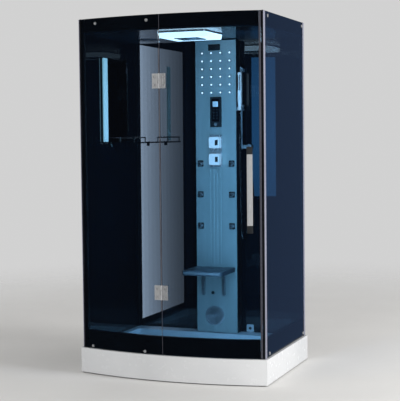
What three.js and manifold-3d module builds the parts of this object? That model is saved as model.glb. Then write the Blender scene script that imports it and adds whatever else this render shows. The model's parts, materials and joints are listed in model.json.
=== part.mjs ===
// A glass steam-shower cabin for a room corner: a raised white tray with a bowed front, black wall panels
// on the left and at the back, tinted glass in front and on the right, and a shower column at the back.
// Millimetres. X runs to the right, Y to the back and Z up. The origin is on the floor, under the tray's
// middle.
import * as THREE from 'three';
import { mergeVertices } from 'three/addons/utils/BufferGeometryUtils.js';
import Module from 'manifold-3d';

const wasm = await Module();
wasm.setup();

// ---------------------------------------------------------------- driving dimensions
const WIDTH = 1200; // tray, side to side
const DEPTH = 900; // tray, from its back to the top of the bow
const HEIGHT = 2150; // floor to the top of the rails
const BOW = 80; // how far the front bows out past its corners
const TRAY_TOP = 155;
const TRAY_BOTTOM = 6; // the apron stops short of the floor
const TRAY_WALL = 7;
const BASIN_FLOOR = 113;
const INSET = 15; // the cabin stands in from the tray's edge
const GLASS = 6;
const GAP = 0.4; // between pieces that touch
const RAIL_DEPTH = 25;
const BOTTOM_RAIL_HEIGHT = 110;
const TOP_RAIL_HEIGHT = 80;
const CEILING_THICKNESS = 9;
const DOOR_JOINT_X = -28; // where the fixed pane ends and the door begins
const DOOR_RIGHT_X = 571;
const HINGE_AXIS_Y = -442;
const HINGE_HEIGHTS = { lower: 526, upper: 1763 };
const HANDLE_X = 508;
const COLUMN_X = [-120, 160];
const COLUMN_FRONT_Y = 350;
const COLUMN_Z = [158, 2055];
const COLUMN_SKIN = 3;
const CONTROLS_X = 23; // centre line of the column's panel, valves and knobs
const KNOB_HEIGHTS = { mixer: 1397, diverter: 1289 };
const JET_COLUMNS = { left: -88, right: 128 };
const JET_ROWS = { top: 1261, middle: 1060, bottom: 855 };
const STEAM_OUTLET = { x: 5, z: 267 };
const SEAT_PIN = { y: 326, z: 576 };
const SEAT_BRACKETS = { left: -66, right: 74 };
const BAR = { x: 180, y: 392 };
const HANDSET = { y: 362, z: 1612 }; // the pivot in the sliding holder
const HOSE_RADIUS = 6;
const DRAIN = { x: 95, y: 110 };
const FOOT_X = 500;
const FOOT_ROWS = { front: -300, back: 380 };
const FAN = { x: -380, y: 180, radius: 62 };
const LIGHT = { x: 50, y: -140, side: 300, height: 34 };
const RAIN_HEAD = 150; // side of the square rain head

// ---------------------------------------------------------------- places worked out from them
const halfWidth = WIDTH / 2;
const backY = DEPTH / 2;
const trayRadius = (halfWidth ** 2 + BOW ** 2) / (2 * BOW);
const cabinX = halfWidth - INSET; // outer face of the right glass
const cornerY = BOW - backY + INSET; // outer face of the front glass at its corners
const bowRadius = (cabinX ** 2 + BOW ** 2) / (2 * BOW);
const bowCentreY = cornerY - BOW + bowRadius;
const wallFront = -330.5; // side walls and rails run from here
const wallBack = 418.5; // to here
const backWallY = 435; // inner face of the back wall
const leftWallX = -577; // inner face of the left wall
const railBottom = TRAY_TOP + GAP;
const topRailZ = HEIGHT - TOP_RAIL_HEIGHT;
const ceilingZ = topRailZ - CEILING_THICKNESS - 1;

// ---------------------------------------------------------------- materials
const finish = (color, roughness, metalness, extra = {}) =>
  new THREE.MeshStandardMaterial({ color, roughness, metalness, ...extra });
const acrylic = finish(0xeef0f2, 0.2, 0);
const blackPanel = finish(0x0a0c12, 0.08, 0);
const blackRail = finish(0x08090c, 0.25, 0.2);
const tintedGlass = finish(0x2a4a7c, 0.04, 0, { transparent: true, opacity: 0.35 });
const clearGlass = finish(0xa9c4cf, 0.04, 0, { transparent: true, opacity: 0.4 });
const mirrorGlass = finish(0xd7dde2, 0.03, 1);
const chrome = finish(0xd9dce0, 0.1, 1);
const satinAluminium = finish(0x9db4c8, 0.32, 1);
const galvanised = finish(0x8d9298, 0.5, 1);
const brass = finish(0xb08d4a, 0.35, 1);
const blackPlastic = finish(0x17191d, 0.45, 0);
const litDiffuser = finish(0xffffff, 0.4, 0, { emissive: 0xe8f4ff });
const seatPlastic = finish(0x39465a, 0.4, 0);
const steelHose = finish(0xaab2bb, 0.3, 1);
const greyPanel = finish(0x3a4452, 0.25, 0);

// ---------------------------------------------------------------- shape helpers
const at = (x, y, z) => new THREE.Vector3(x, y, z);

function solidOf(geometry) {
  const bare = geometry.clone();
  bare.deleteAttribute('normal');
  bare.deleteAttribute('uv');
  const merged = mergeVertices(bare, 1e-4);
  const index = merged.index.array;
  const triangles = [];
  for (let i = 0; i < index.length; i += 3) {
    const [a, b, c] = [index[i], index[i + 1], index[i + 2]];
    if (a !== b && b !== c && c !== a) triangles.push(a, b, c);
  }
  return new wasm.Manifold(new wasm.Mesh({
    numProp: 3,
    vertProperties: Float32Array.from(merged.attributes.position.array),
    triVerts: Uint32Array.from(triangles),
  }));
}

function geometryOf(solid) {
  const mesh = solid.getMesh();
  const geometry = new THREE.BufferGeometry();
  geometry.setAttribute('position', new THREE.BufferAttribute(mesh.vertProperties, 3));
  geometry.setIndex(new THREE.BufferAttribute(mesh.triVerts, 1));
  geometry.computeVertexNormals();
  return geometry;
}

const join = (...pieces) => geometryOf(pieces.map(solidOf).reduce((all, next) => all.add(next)));
const cut = (body, ...tools) =>
  geometryOf(tools.map(solidOf).reduce((rest, tool) => rest.subtract(tool), solidOf(body)));

function block([x0, x1], [y0, y1], [z0, z1]) {
  const box = new THREE.BoxGeometry(x1 - x0, y1 - y0, z1 - z0);
  return box.translate((x0 + x1) / 2, (y0 + y1) / 2, (z0 + z1) / 2);
}

function prism(outline, [z0, z1]) {
  const shape = new THREE.Shape(outline.map(([x, y]) => new THREE.Vector2(x, y)));
  return new THREE.ExtrudeGeometry(shape, { depth: z1 - z0, bevelEnabled: false }).translate(0, 0, z0);
}

function rod(start, end, radius, sides = 16) {
  const along = end.clone().sub(start);
  const bar = new THREE.CylinderGeometry(radius, radius, along.length(), sides);
  bar.applyQuaternion(new THREE.Quaternion().setFromUnitVectors(at(0, 1, 0), along.clone().normalize()));
  return bar.translate(...start.clone().add(end).multiplyScalar(0.5));
}

// a turned piece about Z, from a profile of [radius, z] points that goes up its outside
function turned(profile, sides = 24) {
  const points = profile.map(([radius, z]) => new THREE.Vector2(radius, z));
  return new THREE.LatheGeometry(points, sides).rotateX(Math.PI / 2);
}

function pipe(points, radius, sides, steps) {
  const section = new THREE.Shape();
  for (let i = 0; i < sides; i += 1) {
    const angle = (2 * Math.PI * i) / sides;
    const place = [radius * Math.cos(angle), radius * Math.sin(angle)];
    if (i === 0) section.moveTo(...place);
    else section.lineTo(...place);
  }
  const extrudePath = new THREE.CatmullRomCurve3(points, false, 'centripetal');
  return new THREE.ExtrudeGeometry(section, { steps, extrudePath, bevelEnabled: false });
}

// rounds every corner of an outline that turns by more than 40 degrees
function rounded(outline, radius, steps = 5) {
  const points = outline.map(([x, y]) => new THREE.Vector2(x, y));
  return points.flatMap((corner, i) => {
    const before = points.at(i - 1).clone().sub(corner).normalize();
    const after = points[(i + 1) % points.length].clone().sub(corner).normalize();
    const turn = Math.PI - Math.acos(THREE.MathUtils.clamp(before.dot(after), -1, 1));
    if (turn < THREE.MathUtils.degToRad(40)) return [[corner.x, corner.y]];
    const reach = radius * Math.tan(turn / 2);
    const start = corner.clone().addScaledVector(before, reach);
    const end = corner.clone().addScaledVector(after, reach);
    const arc = new THREE.QuadraticBezierCurve(start, corner, end);
    return arc.getPoints(steps).map(({ x, y }) => [x, y]);
  });
}

// y of the front bow at x, inset from the glass's outer face
const bowY = (x, inset = 0) => bowCentreY - Math.sqrt((bowRadius - inset) ** 2 - x ** 2);

function bowLine(x0, x1, inset, steps) {
  const line = [];
  for (let i = 0; i <= steps; i += 1) {
    const x = x0 + ((x1 - x0) * i) / steps;
    line.push([x, bowY(x, inset)]);
  }
  return line;
}

const bowBand = ([x0, x1], [outer, inner], heights, steps = 16) =>
  prism([...bowLine(x0, x1, outer, steps), ...bowLine(x1, x0, inner, steps)], heights);

function trayOutline(side, front, back, steps = 14) {
  const radius = trayRadius - front;
  const reach = halfWidth - side;
  const line = [];
  for (let i = 0; i <= steps; i += 1) {
    const x = -reach + (2 * reach * i) / steps;
    line.push([x, trayRadius - backY - Math.sqrt(radius ** 2 - x ** 2)]);
  }
  return [...line, [reach, backY - back], [-reach, backY - back]];
}

const group = new THREE.Group();

function add(name, material, geometry, [x, y, z] = [0, 0, 0], turn = 0) {
  const mesh = new THREE.Mesh(geometry, material);
  mesh.name = name;
  mesh.position.set(x, y, z);
  mesh.rotation.z = turn;
  group.add(mesh);
}

// ---------------------------------------------------------------- tray, its frame, feet and drain
function tray() {
  const basin = rounded(trayOutline(62, 60, 120), 40);
  const basinUnder = rounded(trayOutline(62 - TRAY_WALL, 60 - TRAY_WALL, 120 - TRAY_WALL), 46);
  const shell = prism(trayOutline(0, 0, 0, 24), [TRAY_BOTTOM, TRAY_TOP]);
  const hollow = cut(
    prism(trayOutline(TRAY_WALL, TRAY_WALL, TRAY_WALL), [0, TRAY_TOP - TRAY_WALL]),
    prism(basinUnder, [BASIN_FLOOR - TRAY_WALL, TRAY_TOP]),
  );
  const drainHole = rod(at(DRAIN.x, DRAIN.y, 90), at(DRAIN.x, DRAIN.y, 130), 46, 24);
  return cut(shell, prism(basin, [BASIN_FLOOR, TRAY_TOP + 5]), hollow, drainHole);
}

function frameTube(length) {
  const tube = block([-length / 2, length / 2], [-20, 20], [62, 102]);
  return cut(tube, block([-length, length], [-17, 17], [65, 99]));
}

const foot = () => turned(
  [[0, 0], [28, 0], [28, 5], [10, 13], [6, 13], [6, 48], [11, 48], [11, 62 - GAP], [0, 62 - GAP]],
  16,
);

function drainBody() {
  const seat = BASIN_FLOOR + GAP;
  const cup = turned([[0, 66], [43, 66], [43, seat], [56, seat], [56, 116], [39, 116], [39, 72], [0, 72]]);
  const spigot = rod(at(0, 41, 86), at(0, 110, 86), 17);
  return cut(join(cup, spigot), rod(at(0, 20, 86), at(0, 120, 86), 13));
}

const drainCover = () => turned(
  [[0, 84], [30, 84], [30, 116.5], [54, 116.5], [54, 118.5], [50, 120.5], [0, 120.5]],
);

add('tray', acrylic, tray());
for (const [row, y] of Object.entries(FOOT_ROWS)) {
  add(`frame_tube_${row}`, galvanised, frameTube(1130), [0, y, 0]);
  add(`foot_${row}_left`, blackPlastic, foot(), [-FOOT_X, y, 0]);
  add(`foot_${row}_right`, blackPlastic, foot(), [FOOT_X, y, 0]);
}
add('drain_body', blackPlastic, drainBody(), [DRAIN.x, DRAIN.y, 0]);
add('drain_cover', chrome, drainCover(), [DRAIN.x, DRAIN.y, 0]);

// ---------------------------------------------------------------- corner posts, rails and panels
const cornerX = 548; // the front rails stop beside the posts
const railInset = GLASS + 3;
const rightRailX = [cabinX - railInset - RAIL_DEPTH, cabinX - railInset];
const bottomRail = [railBottom, TRAY_TOP + BOTTOM_RAIL_HEIGHT];
const topRail = [topRailZ, HEIGHT];
const wallHeights = [railBottom, HEIGHT];
const glassHeights = [TRAY_TOP + 2, HEIGHT - 1];

// side is 1 for the right post and -1 for the left one
function frontPost(side) {
  const section = [
    [556, -331], [556, -351], [575.5, -351], [575.5, -358], [582, -358], [585, -355], [585, -331],
  ];
  return prism(section.map(([x, y]) => [side * x, y]), wallHeights);
}

function backPost(side) {
  const section = [[563, 419], [585, 419], [585, 438], [582, 441], [563, 441]];
  return prism(section.map(([x, y]) => [side * x, y]), wallHeights);
}

add('post_front_right', blackRail, frontPost(1));
add('post_front_left', blackRail, frontPost(-1));
add('post_back_right', blackRail, backPost(1));
add('post_back_left', blackRail, backPost(-1));

const frontRail = [railInset, railInset + RAIL_DEPTH];
add('bottom_rail_front', blackRail, bowBand([-cornerX, cornerX], frontRail, bottomRail));
add('bottom_rail_right', blackRail, block(rightRailX, [wallFront, wallBack], bottomRail));
add('top_rail_front', blackRail, bowBand([-cornerX, cornerX], frontRail, topRail));
add('top_rail_right', blackRail, block(rightRailX, [wallFront, wallBack], topRail));
add('top_rail_left', blackRail, block([leftWallX + 1, leftWallX + 23], [wallFront, wallBack], topRail));
add('top_rail_back', blackRail, block([-550, 550], [backWallY - 25, backWallY - 1], topRail));

add('left_wall', blackPanel, block([leftWallX - GLASS, leftWallX], [wallFront, wallBack], wallHeights));
add('back_wall', blackPanel, block([-562.5, 562.5], [backWallY, backWallY + GLASS], wallHeights));
add('side_glass', tintedGlass, block([cabinX - GLASS, cabinX], [wallFront, wallBack], glassHeights));

// ---------------------------------------------------------------- front panes, hinges and handle
const hingeBolt = { x: 24, z: 25 };
const handlePosts = [905, 1360];
const handleTurn = Math.asin(HANDLE_X / bowRadius);
const handlePlace = [HANDLE_X, bowY(HANDLE_X), 0];

function boltHoles(side) {
  const holes = [];
  for (const height of Object.values(HINGE_HEIGHTS)) {
    for (const step of [-hingeBolt.z, hingeBolt.z]) {
      const x = DOOR_JOINT_X + side * hingeBolt.x;
      holes.push(rod(at(x, -460, height + step), at(x, -400, height + step), 7));
    }
  }
  return holes;
}

const handleHoles = () => handlePosts.map((z) =>
  rod(at(0, -20, z), at(0, 30, z), 7).rotateZ(handleTurn).translate(...handlePlace));

const doorPane = bowBand([DOOR_JOINT_X + 4, DOOR_RIGHT_X], [0, GLASS], glassHeights);
const fixedPane = bowBand([-572, DOOR_JOINT_X - 4], [0, GLASS], glassHeights);
add('fixed_glass', tintedGlass, cut(fixedPane, ...boltHoles(-1)));
add('door_glass', tintedGlass, cut(doorPane, ...boltHoles(1), ...handleHoles()));

// The hinge leaves are drawn about the pin. Each clamps its pane between an outer and an inner plate.
function leafPlates(side) {
  const reach = (x0, x1) => (side > 0 ? [x0, x1] : [-x1, -x0]);
  const bolts = [-hingeBolt.z, hingeBolt.z].map((z) =>
    rod(at(side * hingeBolt.x, 5, z), at(side * hingeBolt.x, 16, z), 5, 12));
  return [
    block(reach(7.5, 42), [0.5, 6.5], [-43, 43]),
    block(reach(5, 42), [14.7, 20.7], [-43, 43]),
    ...bolts,
  ];
}

function hingeFixedLeaf() {
  const knuckles = [[15, 43], [-43, -15]].flatMap(([z0, z1]) => [
    rod(at(0, 0, z0), at(0, 0, z1), 6),
    block([-8, -2], [0.5, 5.5], [z0, z1]),
  ]);
  return join(...leafPlates(-1), ...knuckles, rod(at(0, 0, -43), at(0, 0, 43), 3, 12));
}

function hingeDoorLeaf() {
  const knuckle = cut(
    join(rod(at(0, 0, -14.6), at(0, 0, 14.6), 6), block([4, 8], [0.5, 5.5], [-14.6, 14.6])),
    rod(at(0, 0, -20), at(0, 0, 20), 3.6, 12),
  );
  return join(...leafPlates(1), knuckle);
}

for (const [place, z] of Object.entries(HINGE_HEIGHTS)) {
  add(`hinge_${place}_fixed`, chrome, hingeFixedLeaf(), [DOOR_JOINT_X, HINGE_AXIS_Y, z]);
  add(`hinge_${place}_door`, chrome, hingeDoorLeaf(), [DOOR_JOINT_X, HINGE_AXIS_Y, z]);
}

// drawn about a point on the door's outer face, standing out along -Y
function doorHandle() {
  const posts = handlePosts.flatMap((z) => [
    rod(at(0, -36, z), at(0, -GAP, z), 9),
    rod(at(0, -3, z), at(0, GLASS + 4, z), 5, 12),
    rod(at(0, GLASS + GAP, z), at(0, GLASS + 5, z), 11),
  ]);
  return join(block([-16, 16], [-46, -34], [888, 1377]), ...posts);
}

add('door_handle', chrome, doorHandle(), handlePlace, handleTurn);

// ---------------------------------------------------------------- ceiling, light, rain head, fan and steam
const steamPipeX = 120;
const steamPipeY = 396;
const PIPE_RADIUS = 11;

function ceilingPanel() {
  const heights = [ceilingZ, ceilingZ + CEILING_THICKNESS];
  const frontEdge = bowLine(-550, 550, railInset + 3, 16);
  const panel = join(
    prism([...frontEdge, [550, -300], [-550, -300]], heights),
    block([leftWallX + 1, 574], [-326, wallBack - 1], heights),
    block([-562, 562], [wallBack - 10, backWallY - 1], heights),
  );
  const upright = (x, y, radius, sides) => rod(at(x, y, ceilingZ - 5), at(x, y, HEIGHT), radius, sides);
  const fanHole = upright(FAN.x, FAN.y, FAN.radius, 24);
  const pipeHole = upright(steamPipeX, steamPipeY, PIPE_RADIUS + 5, 16);
  return cut(panel, fanHole, pipeHole);
}

const lightBottom = ceilingZ - GAP - LIGHT.height;
const square = (side, heights) => block([-side / 2, side / 2], [-side / 2, side / 2], heights);

// a shallow box whose sides lean in a little, with a recess for the rain head
function ceilingLight() {
  const topCorner = (LIGHT.side / 2) * Math.SQRT2;
  const box = new THREE.CylinderGeometry(topCorner, topCorner - 9, LIGHT.height, 4)
    .rotateX(Math.PI / 2)
    .rotateZ(Math.PI / 4)
    .translate(0, 0, lightBottom + LIGHT.height / 2);
  const recess = square(RAIN_HEAD + 8, [lightBottom - 5, lightBottom + 10]);
  return cut(box, recess, rod(at(0, 0, lightBottom), at(0, 0, HEIGHT), 10));
}

const rainHead = () => join(
  square(RAIN_HEAD, [lightBottom - 3, lightBottom + 8]),
  rod(at(0, 0, lightBottom), at(0, 0, ceilingZ - GAP), 9),
);

const fanBase = ceilingZ + CEILING_THICKNESS + GAP;

function fanHousing() {
  const ring = cut(
    square(2 * FAN.radius + 20, [fanBase, fanBase + 32]),
    rod(at(0, 0, fanBase - 5), at(0, 0, fanBase + 40), FAN.radius, 24),
  );
  const bridge = block([-FAN.radius - 4, FAN.radius + 4], [-5, 5], [fanBase, fanBase + 3]);
  return join(ring, bridge, rod(at(0, 0, fanBase), at(0, 0, fanBase + 6), 12));
}

function fanRotor() {
  const middle = fanBase + 18;
  const hub = rod(at(0, 0, middle - 10), at(0, 0, middle + 9), 18);
  const blades = [0, 1, 2, 3, 4].map((i) =>
    block([14, 57], [-11, 11], [-1.2, 1.2])
      .rotateX(THREE.MathUtils.degToRad(32))
      .translate(0, 0, middle)
      .rotateZ((2 * Math.PI * i) / 5));
  return join(hub, ...blades);
}

const generatorX = [180, 500];

add('ceiling_panel', greyPanel, ceilingPanel());
add('ceiling_light', litDiffuser, ceilingLight(), [LIGHT.x, LIGHT.y, 0]);
add('rain_head', blackPlastic, rainHead(), [LIGHT.x, LIGHT.y, 0]);
add('fan_housing', blackPlastic, fanHousing(), [FAN.x, FAN.y, 0]);
add('fan_rotor', blackPlastic, fanRotor(), [FAN.x, FAN.y, 0]);
add('steam_generator', galvanised, block(generatorX, [190, 390], [fanBase, HEIGHT - 6]));

// from the generator, down behind the column's casing and forward into the outlet
const steamRoute = [
  at(generatorX[0] - 0.8, 366, 2107), at(164, 366, 2107), at(138, 376, 2099), at(122, 391, 2080),
  ...[2050, 1990, 1400, 800, 380].map((z) => at(steamPipeX, steamPipeY, z)),
  at(116, 396, 325), at(98, 396, 285), at(66, 396, 268), at(34, 394, 267), at(12, 387, 267),
  at(STEAM_OUTLET.x, 374, STEAM_OUTLET.z), at(STEAM_OUTLET.x, 363, STEAM_OUTLET.z),
];
add('steam_pipe', steelHose, pipe(steamRoute, PIPE_RADIUS, 8, 64));

// ---------------------------------------------------------------- shower column and what it carries
const columnBack = backWallY - 0.5;

function columnCasing() {
  const [left, right] = COLUMN_X;
  const outer = block(COLUMN_X, [COLUMN_FRONT_Y, columnBack], COLUMN_Z);
  const inside = block(
    [left + COLUMN_SKIN, right - COLUMN_SKIN],
    [COLUMN_FRONT_Y + COLUMN_SKIN, columnBack + 5],
    [COLUMN_Z[0] - 5, COLUMN_Z[1] + 5],
  );
  const ribs = [0, 1, 2, 3].map((i) => {
    const x = -33 + 24 * i;
    return block([x, x + 15], [COLUMN_FRONT_Y - 4, COLUMN_FRONT_Y + 1], [606, 1226]);
  });
  const through = (x, z, radius) => rod(at(x, 340, z), at(x, 360, z), radius);
  const holes = [through(STEAM_OUTLET.x, STEAM_OUTLET.z, 20)];
  for (const z of Object.values(KNOB_HEIGHTS)) holes.push(through(CONTROLS_X, z, 10));
  for (const x of Object.values(JET_COLUMNS)) {
    for (const z of Object.values(JET_ROWS)) holes.push(through(x, z, 17));
  }
  return cut(join(cut(outer, inside), ...ribs), ...holes);
}

const panelFront = 338;
const buttonPlace = { x: CONTROLS_X, z: 1514 };

function controlPanel() {
  const { x, z } = buttonPlace;
  const body = block([CONTROLS_X - 38, CONTROLS_X + 38], [panelFront, COLUMN_FRONT_Y - GAP], [1497, 1692]);
  return cut(body, rod(at(x, panelFront - 5, z), at(x, panelFront + 8, z), 11.5, 20));
}

function powerButton() {
  const { x, z } = buttonPlace;
  return rod(at(x, panelFront - 4, z), at(x, panelFront + 4, z), 10.8, 20);
}

const plateFront = 341;

function valvePlate() {
  const holes = Object.values(KNOB_HEIGHTS).map((z) =>
    rod(at(CONTROLS_X, 330, z), at(CONTROLS_X, 360, z), 10));
  const across = [CONTROLS_X - 40, CONTROLS_X + 40];
  return cut(block(across, [plateFront, COLUMN_FRONT_Y - GAP], [1238, 1448]), ...holes);
}

// a brass bar behind the casing, with a spindle through it for each knob and a stub at each end for pipes
function valveBlock() {
  const spindles = Object.values(KNOB_HEIGHTS).map((z) =>
    rod(at(CONTROLS_X, 322, z), at(CONTROLS_X, 370, z), 8));
  const stubs = rod(at(CONTROLS_X, 386, 1190), at(CONTROLS_X, 386, 1496), 10);
  return join(block([CONTROLS_X - 20, CONTROLS_X + 20], [362, 410], [1252, 1434]), ...spindles, stubs);
}

// drawn about its own centre on the plate's front, turning about Y
function knob() {
  const outline = rounded([[-36, -36], [36, -36], [36, 36], [-36, 36]], 10, 4);
  const body = prism(outline, [GAP, 36]).rotateX(Math.PI / 2);
  const spindleHole = rod(at(0, 5, 0), at(0, -19, 0), 8.5);
  return cut(body, spindleHole);
}

function bodyJet() {
  const ball = new THREE.SphereGeometry(15, 16, 10);
  return join(ball, rod(at(0, 0, 0), at(0, -30, 0), 12, 16));
}

// a round cover with raised rings in front and a spigot behind
function steamOutlet() {
  const profile = [
    [0, -12], [18, -12], [18, GAP], [65, GAP], [65, 5], [61, 8], [54, 8], [54, 5], [46, 5], [46, 9],
    [39, 9], [39, 5], [31, 5], [31, 10], [24, 10], [24, 5], [16, 5], [16, 11], [0, 11],
  ];
  return turned(profile, 24).rotateX(Math.PI / 2);
}

add('column_casing', satinAluminium, columnCasing());
add('control_panel', blackPlastic, controlPanel());
add('power_button', chrome, powerButton());
add('valve_plate', chrome, valvePlate());
add('valve_block', brass, valveBlock());
for (const [name, z] of Object.entries(KNOB_HEIGHTS)) {
  add(`${name}_knob`, chrome, knob(), [CONTROLS_X, plateFront, z]);
}
for (const [column, x] of Object.entries(JET_COLUMNS)) {
  for (const [row, z] of Object.entries(JET_ROWS)) {
    add(`body_jet_${row}_${column}`, chrome, bodyJet(), [x, COLUMN_FRONT_Y + 2, z]);
  }
}
add('steam_outlet', chrome, steamOutlet(), [STEAM_OUTLET.x, COLUMN_FRONT_Y, STEAM_OUTLET.z]);

// ---------------------------------------------------------------- folding seat
const seatX = [-115, 155];
const seatY = [75, 338];
const seatZ = [562, 590];

function seatPanel() {
  const [left, right] = seatX;
  const [front, back] = seatY;
  const corners = [[left, front], [right, front], [right, back], [left, back]];
  const notches = Object.values(SEAT_BRACKETS).map((x) =>
    block([x - 10, x + 10], [300, back + 5], [seatZ[0] - 5, seatZ[1] + 5]));
  const pinHole = rod(at(left - 5, SEAT_PIN.y, SEAT_PIN.z), at(right + 5, SEAT_PIN.y, SEAT_PIN.z), 5.7);
  return cut(prism(rounded(corners, 22), seatZ), ...notches, pinHole);
}

function seatBracket() {
  const leg = block([-8, 8], [322, COLUMN_FRONT_Y - GAP], [404, 556]);
  const ear = block([-8, 8], [316, 336], [550, SEAT_PIN.z + 10]);
  const pinHole = rod(at(-20, SEAT_PIN.y, SEAT_PIN.z), at(20, SEAT_PIN.y, SEAT_PIN.z), 5.4);
  return cut(join(leg, ear), pinHole);
}

add('seat_panel', seatPlastic, seatPanel());
for (const [side, x] of Object.entries(SEAT_BRACKETS)) {
  add(`seat_bracket_${side}`, galvanised, seatBracket(), [x, 0, 0]);
}
add('seat_pin', chrome, rod(at(-108, SEAT_PIN.y, SEAT_PIN.z), at(148, SEAT_PIN.y, SEAT_PIN.z), 5));

// ---------------------------------------------------------------- hand shower
const outlet = { x: 222, y: 405, z: 1352 }; // where the hose leaves the bar's lower bracket

function slideBar() {
  return join(
    rod(at(BAR.x, BAR.y, 1352), at(BAR.x, BAR.y, 1880), 8),
    block([BAR.x - 9.5, BAR.x + 9.5], [BAR.y + 1, columnBack], [1850, 1872]),
    block([BAR.x - 10, outlet.x + 11], [BAR.y + 2.5, 416.5], [outlet.z + 5, outlet.z + 27]),
    rod(at(outlet.x, 415, outlet.z + 16), at(outlet.x, columnBack, outlet.z + 16), 18),
    rod(at(outlet.x, outlet.y, outlet.z), at(outlet.x, outlet.y, outlet.z + 10), 9),
  );
}

function barHolder() {
  const { z } = HANDSET;
  const clamp = block([BAR.x - 16, BAR.x + 16], [374, 410], [z - 11, z + 25]);
  const cheeks = [[-16, -10.6], [10.6, 16]].map(([x0, x1]) =>
    block([BAR.x + x0, BAR.x + x1], [HANDSET.y - 9, 380], [z - 9, z + 12]));
  const barHole = rod(at(BAR.x, BAR.y, z - 20), at(BAR.x, BAR.y, z + 40), 8.6);
  const pivotHole = rod(at(BAR.x - 20, HANDSET.y, z), at(BAR.x + 20, HANDSET.y, z), 3.6, 12);
  return cut(join(clamp, ...cheeks), barHole, pivotHole);
}

// a slim stick that swivels on two trunnions; its lower end is round about the pivot
function handset() {
  const lowerEnd = [0, 1, 2, 3, 4].map((i) => {
    const angle = (Math.PI / 8) * i;
    return [9 * Math.sin(angle), -9 * Math.cos(angle)];
  });
  const stick = turned([...lowerEnd, [9, 26], [12.5, 44], [12.5, 228], [10, 233], [0, 233]], 16);
  return join(stick, rod(at(-15.4, 0, 0), at(15.4, 0, 0), 3, 12));
}

// from the bar's lower bracket, down the wall, round a hanging loop and up to the handset's pivot
const hoseRoute = [
  at(outlet.x, outlet.y, outlet.z - GAP), at(222, 405, 1336), at(222, 405, 1316),
  at(221.3, 405.6, 1270), at(219, 408, 1200), at(215, 411, 1110), at(210, 414, 1020),
  at(205.5, 416, 930), at(203, 417, 870), at(202, 417, 826),
  at(202.6, 410, 800), at(204.3, 391, 781), at(206.5, 365, 774), at(208.7, 339, 781), at(210.4, 320, 800),
  at(211, 313, 826), at(210.5, 311, 870), at(209, 312, 930), at(206, 316, 1020), at(202, 322.5, 1110),
  at(197.5, 330.5, 1200), at(192.5, 339.5, 1290), at(187.5, 348.5, 1380), at(183.5, 355.5, 1460),
  at(181, 360.3, 1530), at(180, 362, 1570), at(180, 362, 1588), at(BAR.x, HANDSET.y, HANDSET.z - 9 - GAP),
];

add('slide_bar', chrome, slideBar());
add('bar_holder', chrome, barHolder());
add('handset', chrome, handset(), [BAR.x, HANDSET.y, HANDSET.z]);
add('hose', steelHose, pipe(hoseRoute, HOSE_RADIUS, 8, 78));

// ---------------------------------------------------------------- mirror and shelf on the left wall
add('mirror', mirrorGlass, block([leftWallX + GAP, leftWallX + 6], [-92, 268], [1406, 1940]));
add('glass_shelf', clearGlass, block([leftWallX + GAP, leftWallX + 107], [-54, 388], [1396, 1404]));

export default group;
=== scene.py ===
"""Looks of a corner steam shower cabin: its finishes, fine pieces, lights and camera, in metres.

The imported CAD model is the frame. Its nodes keep their shape and get bevels and finishes here, and the
small pieces that the frame doesn't hold (screws, seals, nozzles, screen, trims) are placed from its boxes.
"""

import json
import math

import bmesh
import bpy
from mathutils import Matrix, Vector


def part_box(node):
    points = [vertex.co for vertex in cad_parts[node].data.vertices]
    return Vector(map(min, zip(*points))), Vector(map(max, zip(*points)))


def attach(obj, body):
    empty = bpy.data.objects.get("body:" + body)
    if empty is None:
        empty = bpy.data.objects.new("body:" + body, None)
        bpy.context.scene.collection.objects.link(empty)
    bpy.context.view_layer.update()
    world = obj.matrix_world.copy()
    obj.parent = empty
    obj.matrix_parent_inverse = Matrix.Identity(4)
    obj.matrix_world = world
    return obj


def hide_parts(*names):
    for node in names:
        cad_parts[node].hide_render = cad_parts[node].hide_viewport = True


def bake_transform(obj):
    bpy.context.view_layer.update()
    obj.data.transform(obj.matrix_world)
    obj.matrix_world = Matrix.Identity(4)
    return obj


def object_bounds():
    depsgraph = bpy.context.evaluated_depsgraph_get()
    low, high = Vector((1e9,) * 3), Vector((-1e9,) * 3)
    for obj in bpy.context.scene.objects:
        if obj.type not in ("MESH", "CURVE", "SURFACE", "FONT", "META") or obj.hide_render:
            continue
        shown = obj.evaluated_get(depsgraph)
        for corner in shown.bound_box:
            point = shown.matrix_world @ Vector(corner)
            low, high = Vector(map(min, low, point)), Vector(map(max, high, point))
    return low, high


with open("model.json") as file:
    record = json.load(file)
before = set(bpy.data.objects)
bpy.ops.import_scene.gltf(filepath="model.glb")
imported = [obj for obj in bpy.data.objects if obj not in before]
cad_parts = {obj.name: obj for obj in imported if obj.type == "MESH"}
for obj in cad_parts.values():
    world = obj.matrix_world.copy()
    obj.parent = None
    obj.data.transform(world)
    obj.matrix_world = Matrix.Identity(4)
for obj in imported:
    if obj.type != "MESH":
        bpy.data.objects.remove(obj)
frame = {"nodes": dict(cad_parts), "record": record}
CAD_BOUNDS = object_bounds()
NODES = frame["nodes"]

X, Y, Z = Vector((1, 0, 0)), Vector((0, 1, 0)), Vector((0, 0, 1))
SMOOTH_BELOW = math.radians(35)


# ---------------------------------------------------------------- camera and hose

CAMERA_PLACE = Vector((2.5378, -6.1856, 1.4509))
CAMERA_FORWARD = Vector((-0.36198, 0.93043, -0.05714))
CAMERA_RIGHT = Vector((0.93211, 0.36205, -0.00959))
CAMERA_LENS = 96.9
CAMERA_SHIFT = (-0.0321, -0.0111)


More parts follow.
